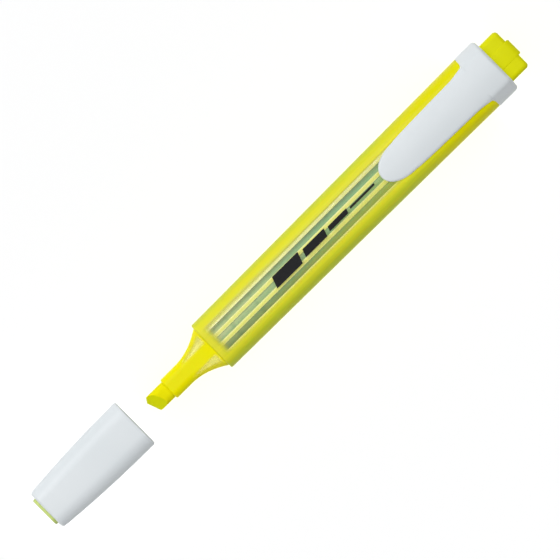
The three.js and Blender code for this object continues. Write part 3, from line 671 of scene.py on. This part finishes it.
def make_reservoir():
    mesh = bmesh.new()
    rounding = 0.25

    def rod(inset):
        return round_bar(FIBRE_RADIUS - inset)

    outside = edge_round(RESERVOIR_START, 1, rounding, rod)
    outside += edge_round(RESERVOIR_END, -1, rounding, rod)[::-1]
    socket = section(NIB_TAIL_HALF_WIDTH + FIT, NIB_TAIL_HALF_HEIGHT + FIT, NIB_TAIL_HALF_HEIGHT,
                     ROUND_BAR_STEPS)
    hollow = [(NIB_TAIL + FIT, closed_end(ROUND_BAR_STEPS)), (NIB_TAIL + FIT, socket),
              (RESERVOIR_START, socket)]
    loft(mesh, hollow + outside)
    return finish_mesh("reservoir_core", mesh, [reservoir_fibre])


def make_film():
    mesh = bmesh.new()
    wall = 0.15
    outer, inner = round_bar(FILM_RADIUS, 20), round_bar(FILM_RADIUS - wall, 20)
    places = [lerp(RESERVOIR_START, RESERVOIR_END, share) for share in steps(12)]
    loft(mesh, [(p, outer) for p in places] + [(RESERVOIR_END, inner), (RESERVOIR_START, inner)],
         ring=True)
    return finish_mesh("reservoir_wrap", mesh, [film_wrap])


# ---------------------------------------------------------------- the end plug

BOSS_HALF_WIDTH = 6.1  # the boss is the part of the plug that shows behind the collar
BOSS_HALF_HEIGHT = 4.2
BOSS_CORNER = 1.3
BOSS_ROUND = 0.95
BAND_HALF_WIDTH = 2.35
BAND_PROUD = 0.1
BAND_RISE = 0.75
BOSS_END = TAIL_END - BAND_RISE
PLUG_FLANGE = (BARREL_END + 0.06, BARREL_END + 1.0)
PLUG_WALL = 1.1


def make_plug():
    mesh = bmesh.new()
    stem_inset = BARREL_WALL + FIT
    stem_half_width = barrel_half_width(PLUG_STEM) - stem_inset

    def stem(inset):
        return section(stem_half_width - inset, HALF_HEIGHT - stem_inset - inset,
                       BORE_CORNER - FIT - inset)

    def boss(inset):
        return section(BOSS_HALF_WIDTH - inset, BOSS_HALF_HEIGHT - inset, BOSS_CORNER - inset)

    flange_gap = 0.05
    flange = section(SPIGOT_HALF_WIDTH - flange_gap, SPIGOT_HALF_HEIGHT - flange_gap,
                     SPIGOT_CORNER - flange_gap)
    outside = edge_round(PLUG_STEM, 1, 0.35, stem)
    outside += [(PLUG_FLANGE[0], stem(0)), (PLUG_FLANGE[0], flange), (PLUG_FLANGE[1], flange),
                (PLUG_FLANGE[1], boss(0))]
    outside += edge_round(BOSS_END, -1, BOSS_ROUND, boss, 10)[::-1]
    hollow = [(BOSS_END - BOSS_ROUND, closed_end()),
              (BOSS_END - BOSS_ROUND, boss(PLUG_WALL)), (PLUG_STEM, stem(PLUG_WALL))]
    loft(mesh, hollow + outside)
    add_plug_band(mesh)
    return finish_mesh("tail_plug", mesh, [plug_plastic])


def add_plug_band(mesh):
    """The low band over the boss and across its end, with softened edges."""
    def band(half_width, half_height):
        return section(half_width, half_height, 0.3, 5)

    top = BOSS_HALF_HEIGHT + BAND_PROUD
    loft(mesh, [
        (COLLAR_REAR - 1.0, band(BAND_HALF_WIDTH, top)),
        (BOSS_END - 0.9, band(BAND_HALF_WIDTH, top)),
        (BOSS_END - 0.3, band(BAND_HALF_WIDTH, top - 0.12)),
        (BOSS_END + BAND_RISE * 0.35, band(BAND_HALF_WIDTH, top - 0.45)),
        (BOSS_END + BAND_RISE * 0.8, band(BAND_HALF_WIDTH - 0.06, top - 0.85)),
        (BOSS_END + BAND_RISE, band(BAND_HALF_WIDTH - 0.25, top - 1.2)),
    ])


# ---------------------------------------------------------------- clip and collar moulding

RIDGE_HALF_WIDTH = 5.6
SHOULDER_RISE = 1.2  # height above the axis where the collar's sides start to slope in
CROWN = 0.5  # the ridge and clip are this much lower at their edges than in the middle
CLIP_THICKNESS = 1.6
CLIP_DROP = 0.7  # the clip's top comes down by this much towards its end
CLIP_ROUND = 7.8  # length of its round end
TONGUE_END_HALF_WIDTH = 4.5
TONGUE_ROOT_HALF_WIDTH = 5.2
SPREAD_LENGTH, SPREAD_WIDTH = 5.0, 0.5  # the tongue widens gently towards the collar
FILLET_LENGTH, FILLET_WIDTH = 0.9, 1.3  # and then curves out into it
COLLAR_ROUND = 1.0  # rounding of the collar's rear edge
COLLAR_FRONT_ROUND = 0.35
COLLAR_GAP = 0.1  # between the barrel's spigot and the collar
COLLAR_REAR_WALL = 1.2
UPPER_STEPS = 18


def bezier(a, b, c, d, t):
    return tuple((1 - t) ** 3 * p + 3 * (1 - t) ** 2 * t * q + 3 * (1 - t) * t * t * r + t ** 3 * s
                 for p, q, r, s in zip(a, b, c, d))


def crowned(y, z):
    """A point of the moulding's upper outline, lowered to give the top a slight crown."""
    share = (z - SHOULDER_RISE) / (RIDGE_TOP - SHOULDER_RISE)
    return y, z - CROWN * share * (min(abs(y), RIDGE_HALF_WIDTH) / RIDGE_HALF_WIDTH) ** 2


def ridge_profile(inset=0.0):
    """The collar's right upper outline, from its side up to the start of the flat ridge."""
    side = COLLAR_HALF_WIDTH - inset
    top = RIDGE_TOP - inset
    ridge = RIDGE_HALF_WIDTH - inset * 0.5
    edge = (ridge, top - 0.55)
    slope = [bezier((side, SHOULDER_RISE), (side, SHOULDER_RISE + 2.6), (ridge + 0.75, top - 1.5),
                    edge, t) for t in steps(UPPER_STEPS)]
    rounding = [bezier(edge, (ridge - 0.3, top - 0.1), (ridge - 0.7, top), (ridge - 1.4, top), t)
                for t in steps(10)]
    return [crowned(y, z) for y, z in slope + rounding[1:]]


def ridge_height(y):
    """Height of the moulding's top surface at a distance from the middle."""
    points = ridge_profile()[::-1]
    if abs(y) <= points[0][0]:
        return crowned(y, RIDGE_TOP)[1]
    for (y0, z0), (y1, z1) in zip(points, points[1:]):
        if abs(y) <= y1:
            return lerp(z0, z1, (abs(y) - y0) / (y1 - y0))
    return points[-1][1]


def collar_outline(inset=0.0, front=False):
    """The collar's closed outline. On the front face the tongue covers the top, which stays sharp."""
    full = collar_points(0.0)
    small = collar_points(inset)
    if not front:
        return small
    covered = clip_half_width(COLLAR_FRONT)
    points = []
    for (y0, z0), (y1, z1) in zip(full, small):
        share = 1.0 if z0 < 0 else smooth_step(covered, covered + 0.9, abs(y0))
        points.append((lerp(y0, y1, share), lerp(z0, z1, share)))
    return points


def collar_points(inset):
    r = CORNER - inset
    half_width = COLLAR_HALF_WIDTH - inset
    bottom = -HALF_HEIGHT + inset
    right = ridge_profile(inset)
    flat = right[-1][0]
    top = [crowned(flat * (1 - 2 * t), RIDGE_TOP - inset) for t in steps(16)[1:-1]]
    left = [(-y, z) for y, z in right[::-1]]
    lower = []
    for share in steps(ARC_STEPS):
        angle = math.pi * (1 + share / 2)
        lower.append((-half_width + r + r * math.cos(angle), bottom + r + r * math.sin(angle)))
    lower += [(-y, z) for y, z in lower[::-1]]
    return right + top + left + lower


def socket_outline():
    """The collar's inside, point for point in the same direction from the axis as its outline."""
    half_width = SPIGOT_HALF_WIDTH + COLLAR_GAP
    half_height = SPIGOT_HALF_HEIGHT + COLLAR_GAP
    corner = SPIGOT_CORNER + COLLAR_GAP
    middle_y, middle_z = half_width - corner, half_height - corner
    points = []
    for y, z in collar_points(0.0):
        length = math.hypot(y, z)
        across, up = abs(y) / length, abs(z) / length
        reach = min(half_width / max(across, 0.001), half_height / max(up, 0.001))
        if reach * across > middle_y and reach * up > middle_z:
            along = across * middle_y + up * middle_z
            reach = along + math.sqrt(along ** 2 - middle_y ** 2 - middle_z ** 2 + corner ** 2)
        points.append((y / length * reach, z / length * reach))
    return points


def clip_half_width(along):
    round_start = CLIP_END + CLIP_ROUND
    if along < round_start:
        reach = (round_start - along) / CLIP_ROUND
        return TONGUE_END_HALF_WIDTH * (1 - reach ** 2.15) ** (1 / 2.15)
    share = (along - round_start) / (COLLAR_FRONT - round_start)
    width = lerp(TONGUE_END_HALF_WIDTH, TONGUE_ROOT_HALF_WIDTH, math.sqrt(share))
    width += SPREAD_WIDTH * smooth_step(COLLAR_FRONT - SPREAD_LENGTH, COLLAR_FRONT, along)
    reach = 1 - (COLLAR_FRONT - along) / FILLET_LENGTH
    if reach > 0:
        width += FILLET_WIDTH * (1 - math.sqrt(max(0.0, 1 - reach * reach)))
    return width


def clip_drop(along):
    share = (COLLAR_FRONT - along) / (COLLAR_FRONT - CLIP_END)
    return CLIP_DROP * max(0.0, share) ** 2


def tongue_outline(along, inset=0.0):
    """The tongue's cross-section: a strip that follows the moulding's top surface."""
    half_width = max(0.35, clip_half_width(along)) - inset
    from_end = max(0.0, 1 - (along - CLIP_END) / 0.55)
    half_height = CLIP_THICKNESS / 2 * (0.35 + 0.65 * math.sqrt(1 - from_end ** 2)) - inset
    flat = section(half_width, half_height, 0.55, 6, 12)
    return [(y, ridge_height(y) - clip_drop(along) - CLIP_THICKNESS / 2 + z) for y, z in flat]


def make_clip_moulding():
    mesh = bmesh.new()
    add_collar(mesh)
    add_tongue(mesh)
    add_clip_pad(mesh)
    return finish_mesh("clip_moulding", mesh, [white_plastic])


def add_collar(mesh):
    front = edge_round(COLLAR_FRONT, 1, COLLAR_FRONT_ROUND,
                       lambda inset: collar_outline(inset, front=True), 4)
    rear = edge_round(COLLAR_REAR, -1, COLLAR_ROUND, collar_outline, 8)[::-1]
    socket = socket_outline()
    window = [(y * 0.85, z * 0.88) for y, z in socket]
    shelf = COLLAR_REAR - COLLAR_REAR_WALL
    inside = [(COLLAR_REAR, window), (shelf, window), (shelf, socket), (COLLAR_FRONT, socket)]
    loft(mesh, front + rear + inside, ring=True)


def add_tongue(mesh):
    places = []
    for share in steps(22):
        places.append(CLIP_END + CLIP_ROUND * (1 - math.cos(share * math.pi / 2)))
    start = CLIP_END + CLIP_ROUND
    fillet = COLLAR_FRONT - FILLET_LENGTH
    places += [lerp(start, fillet, share) for share in steps(26)[1:]]
    places += [lerp(fillet, COLLAR_FRONT, math.sin(share * math.pi / 2)) for share in steps(12)[1:]]
    stations = [(along, tongue_outline(along)) for along in places]
    hidden = tongue_outline(COLLAR_FRONT, 0.06)
    loft(mesh, stations + [(COLLAR_FRONT + 0.01, hidden), (COLLAR_FRONT + 0.8, hidden)])


def add_clip_pad(mesh):
    """The pad under the clip's end, which presses on the barrel."""
    start, length, half_width = CLIP_END + 2.2, 3.2, 2.6
    foot = HALF_HEIGHT + 0.12
    top = RIDGE_TOP - clip_drop(start) - CLIP_THICKNESS * 0.6
    stations = []
    for share in steps(10):
        lift = 0.7 * abs(2 * share - 1) ** 3
        outline = section(half_width - lift * 0.5, (top - foot - lift) / 2, 0.3, 4)
        middle = (top + foot + lift) / 2
        stations.append((start + length * share, [(y, z + middle) for y, z in outline]))
    loft(mesh, stations)


# ---------------------------------------------------------------- the cap

CAP_STRAIGHT = 2.0  # the cap starts to narrow this far from its mouth
CAP_END_HALF_WIDTH = 5.9
CAP_END_HALF_HEIGHT = 4.6
CAP_WALL = 0.72
CAP_END_WALL = 0.95
CAP_ROUND = 0.8
CAP_LIP = 0.45  # rounding of the mouth's outer edge
CAP_LEAD_IN = 0.3  # the mouth's wall is thinner over this length
INLAY_HALF_WIDTH = 4.2
INLAY_HALF_HEIGHT = 2.9
INLAY_CORNER = 1.9


def cap_outline(depth, inset=0.0):
    share = max(0.0, depth - CAP_STRAIGHT) / (CAP_LENGTH - CAP_STRAIGHT)
    taper = share * share
    return section(lerp(CAP_HALF_WIDTH, CAP_END_HALF_WIDTH, taper) - inset,
                   lerp(HALF_HEIGHT, CAP_END_HALF_HEIGHT, taper) - inset,
                   lerp(CORNER, CORNER - 0.6, taper) - inset, power=BODY_POWER)


def cap_place(depth):
    return CAP_MOUTH - depth


def make_cap_body():
    mesh = bmesh.new()
    outside = edge_round(cap_place(CAP_LENGTH), 1, CAP_ROUND,
                         lambda inset: cap_outline(CAP_LENGTH, inset), 8)
    for share in reversed(steps(30)[1:-1]):
        depth = lerp(CAP_LIP, CAP_LENGTH - CAP_ROUND, share)
        outside.append((cap_place(depth), cap_outline(depth)))
    outside += edge_round(CAP_MOUTH, -1, CAP_LIP, lambda inset: cap_outline(0, inset))[::-1]
    inner_end = CAP_LENGTH - CAP_END_WALL
    inside = [(CAP_MOUTH, cap_outline(0, CAP_WALL - 0.1)),
              (cap_place(CAP_LEAD_IN), cap_outline(CAP_LEAD_IN, CAP_WALL))]
    for share in steps(16)[1:]:
        depth = lerp(CAP_LEAD_IN, inner_end, share)
        inside.append((cap_place(depth), cap_outline(depth, CAP_WALL)))
    hole = section(INLAY_HALF_WIDTH + 0.05, INLAY_HALF_HEIGHT + 0.05, INLAY_CORNER)
    inside += [(cap_place(inner_end), hole), (cap_place(CAP_LENGTH), hole)]
    loft(mesh, outside + inside, ring=True)
    return finish_mesh("cap_body", mesh, [white_plastic])


def make_cap_liner():
    mesh = bmesh.new()
    bore_half_width = SLEEVE_HALF_WIDTH + FIT
    bore_half_height = SLEEVE_HALF_HEIGHT + FIT
    wall = 0.85
    shelf = CAP_LENGTH - CAP_END_WALL - 0.08
    shoulder_end, cup_end = shelf - 1.2, shelf - 2.4

    def cup(inset):
        return section(bore_half_width + wall - inset, bore_half_height + wall - inset,
                       SLEEVE_CORNER + wall - inset)

    def inlay(inset):
        return section(INLAY_HALF_WIDTH - inset, INLAY_HALF_HEIGHT - inset, INLAY_CORNER - inset)

    shoulder = section(INLAY_HALF_WIDTH + 0.5, INLAY_HALF_HEIGHT + 0.7, INLAY_CORNER + 0.5)
    bore = section(bore_half_width, bore_half_height, SLEEVE_CORNER)
    outside = edge_round(cap_place(CAP_LENGTH + INLAY_RISE), 1, 0.3, inlay)
    outside += [(cap_place(shelf), inlay(0)), (cap_place(shelf), shoulder),
                (cap_place(shoulder_end), shoulder), (cap_place(cup_end), cup(0))]
    outside += edge_round(cap_place(LINER_MOUTH), -1, 0.3, cup)[::-1]
    floor_place = cap_place(CAP_LENGTH - 0.8)
    inside = [(cap_place(LINER_MOUTH), bore), (cap_place(cup_end), bore),
              (floor_place, section(INLAY_HALF_WIDTH - 1.2, INLAY_HALF_HEIGHT - 0.6, INLAY_CORNER))]
    loft(mesh, outside + inside)
    add_liner_fins(mesh, bore_half_width, bore_half_height)
    return finish_mesh("cap_inner", mesh, [liner_plastic])


def add_liner_fins(mesh, half_width, half_height):
    """Fins at the sides, top and bottom of the liner centre it in the shell."""
    start, length, half_thickness = LINER_MOUTH + 1, 12, 0.35
    outline = cap_outline(start + length, CAP_WALL + 0.1)
    reach_y = max(y for y, z in outline)
    reach_z = max(z for y, z in outline)
    rear, front = cap_place(start + length), cap_place(start)
    for side in (-1, 1):
        ys = sorted((side * (half_width + 0.3), side * reach_y))
        zs = sorted((side * (half_height + 0.3), side * reach_z))
        block(mesh, (rear, ys[0], -half_thickness), (front, ys[1], half_thickness))
        block(mesh, (rear, -half_thickness, zs[0]), (front, half_thickness, zs[1]))


# ---------------------------------------------------------------- the print

PRINT_GAP = 0.002  # keeps the ink's underside just clear of the barrel
PRINT_HEIGHT = 0.02  # of the ink's top over the barrel
PRINT_SLANT = 0.35  # the strokes' ends lean like a chisel's
PRINT_CENTRE_Y = 0.3


def make_print():
    """A generic gauge of writing widths: slanted strokes from broad to fine."""
    mesh = bmesh.new()
    strokes = [(22.0, 9.0, 3.0), (32.6, 7.5, 2.1), (41.4, 6.5, 1.3), (49.0, 8.5, 0.55)]
    for start, length, width in strokes:
        add_stroke(mesh, start, length, width)
    return finish_mesh("barrel_print", mesh, [print_ink])


def add_stroke(mesh, start, length, width):
    lean = width * PRINT_SLANT
    low, high = PRINT_CENTRE_Y - width / 2, PRINT_CENTRE_Y + width / 2
    outline = [(start, low), (start + length, low), (start + length + lean, high),
               (start + lean, high)]
    base, top = HALF_HEIGHT + PRINT_GAP, HALF_HEIGHT + PRINT_HEIGHT
    lower = [mesh.verts.new((SHOULDER_X + x, y, AXIS_Z + base)) for x, y in outline]
    upper = [mesh.verts.new((SHOULDER_X + x, y, AXIS_Z + top)) for x, y in outline]
    mesh.faces.new(lower[::-1])
    mesh.faces.new(upper)
    for i in range(4):
        j = (i + 1) % 4
        mesh.faces.new((lower[i], lower[j], upper[j], upper[i]))


# ---------------------------------------------------------------- assembly

PIECES = [
    (make_barrel, "pen", ["barrel"], "barrel_plastic"),
    (make_ribs, "pen", [], "barrel_plastic"),
    (make_front_section, "pen", ["front_section"], "section_plastic"),
    (make_nib, "pen", ["nib"], "nib_felt"),
    (make_reservoir, "pen", ["ink_reservoir"], "reservoir_fibre"),
    (make_film, "pen", ["reservoir_film"], "reservoir_film"),
    (make_plug, "pen", ["end_plug"], "ink_colour_plastic"),
    (make_print, "pen", [], "barrel_plastic"),
    (make_cap_body, "cap", ["cap_shell"], "white_plastic"),
    (make_cap_liner, "cap", ["cap_liner"], "liner_plastic"),
]

for make, body, nodes, slot in PIECES:
    piece = make()
    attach(piece, body)
    if nodes:
        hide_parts(*nodes)

# The clip and collar are one moulding, made in place; on the real pen the clip bends over its first
# stretch beyond the collar.
clip_moulding = make_clip_moulding()
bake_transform(clip_moulding)
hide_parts("clip_collar", "pocket_clip")

# ---------------------------------------------------------------- floor, light and camera


def make_floor():
    bpy.ops.mesh.primitive_plane_add(size=6, location=(0, 0, -0.00005))
    plane = bpy.context.object
    plane.name = "floor"
    plane.data.materials.append(floor_paint("floor_paint"))
    return plane


def light_group(name, member, state):
    """A light-linking group that includes or excludes one object."""
    group = bpy.data.collections.new(name)
    group.objects.link(member)
    group.collection_objects[0].light_linking.link_state = state
    return group


def make_area_light(name, place, size, power, lights_what, shadows_of=None):
    """A softbox that faces the pen. place and size are in metres, power in watts."""
    light = bpy.data.lights.new(name, "AREA")
    light.shape = "RECTANGLE"
    light.size, light.size_y = size
    light.energy = power
    lamp = bpy.data.objects.new(name, light)
    lamp.location = place
    lamp.rotation_euler = (-Vector(place)).to_track_quat("-Z", "Y").to_euler()
    lamp.light_linking.receiver_collection = lights_what
    lamp.light_linking.blocker_collection = shadows_of
    bpy.context.scene.collection.objects.link(lamp)


def make_floor_light(strength, only_floor):
    """Even light for the floor alone, without shadows, which keeps it plain and pale."""
    light = bpy.data.lights.new("floor_light", "SUN")
    light.energy = strength
    lamp = bpy.data.objects.new("floor_light", light)
    lamp.light_linking.receiver_collection = only_floor
    lamp.light_linking.blocker_collection = only_floor
    bpy.context.scene.collection.objects.link(lamp)


def make_world(overhead, horizon):
    """Dim light from above, and a pale backdrop round the horizon."""
    world = bpy.data.worlds.new("studio")
    world.use_nodes = True
    nodes, links = world.node_tree.nodes, world.node_tree.links
    height = nodes.new("ShaderNodeSeparateXYZ")
    links.new(nodes.new("ShaderNodeTexCoord").outputs["Generated"], height.inputs["Vector"])
    fade = nodes.new("ShaderNodeMapRange")
    links.new(height.outputs["Z"], fade.inputs["Value"])
    limits = {"From Min": 0.05, "From Max": 0.2, "To Min": horizon, "To Max": overhead}
    for socket, value in limits.items():
        fade.inputs[socket].default_value = value
    background = nodes["Background"]
    background.inputs["Color"].default_value = (0.97, 0.985, 1.0, 1)
    links.new(fade.outputs["Result"], background.inputs["Strength"])
    bpy.context.scene.world = world


CAMERA_ROLL = math.radians(-44.83)
CAMERA_TILT = math.radians(1.0)  # the camera stands this far over to +Y
CAMERA_LENS = 1000.0  # nearly parallel
SENSOR = 36.0
FIELD = 140.2  # width of the picture at the height of the pen's axis
AIM = (0.03, -0.25)  # the middle of the picture at that height, in X and Y


def make_camera():
    camera = bpy.data.cameras.new("camera")
    camera.lens = CAMERA_LENS
    camera.sensor_width = SENSOR
    camera.clip_start = 0.05
    camera.clip_end = 100
    holder = bpy.data.objects.new("camera", camera)
    turn = Matrix.Rotation(-CAMERA_TILT, 3, "X") @ Matrix.Rotation(CAMERA_ROLL, 3, "Z")
    distance = FIELD * CAMERA_LENS / SENSOR
    holder.location = (Vector((AIM[0], AIM[1], AXIS_Z)) + turn @ Vector((0, 0, distance))) * MM
    holder.rotation_euler = turn.to_euler()
    bpy.context.scene.collection.objects.link(holder)
    bpy.context.scene.camera = holder


floor = make_floor()
all_but_floor = light_group("all_but_floor", floor, "EXCLUDE")
make_world(overhead=0.14, horizon=0.75)
make_area_light("strip", place=(0.0, 0.17, 1.3), size=(1.4, 0.12), power=7.5,
                lights_what=all_but_floor)
make_area_light("softbox", place=(-0.35, 0.65, 1.1), size=(1.2, 0.6), power=10.5,
                lights_what=all_but_floor,
                shadows_of=light_group("all_but_clip", clip_moulding, "EXCLUDE"))
make_floor_light(strength=2.8, only_floor=light_group("only_floor", floor, "INCLUDE"))
make_camera()
bpy.context.scene.view_settings.view_transform = "Standard"
bpy.context.scene.view_settings.look = "None"
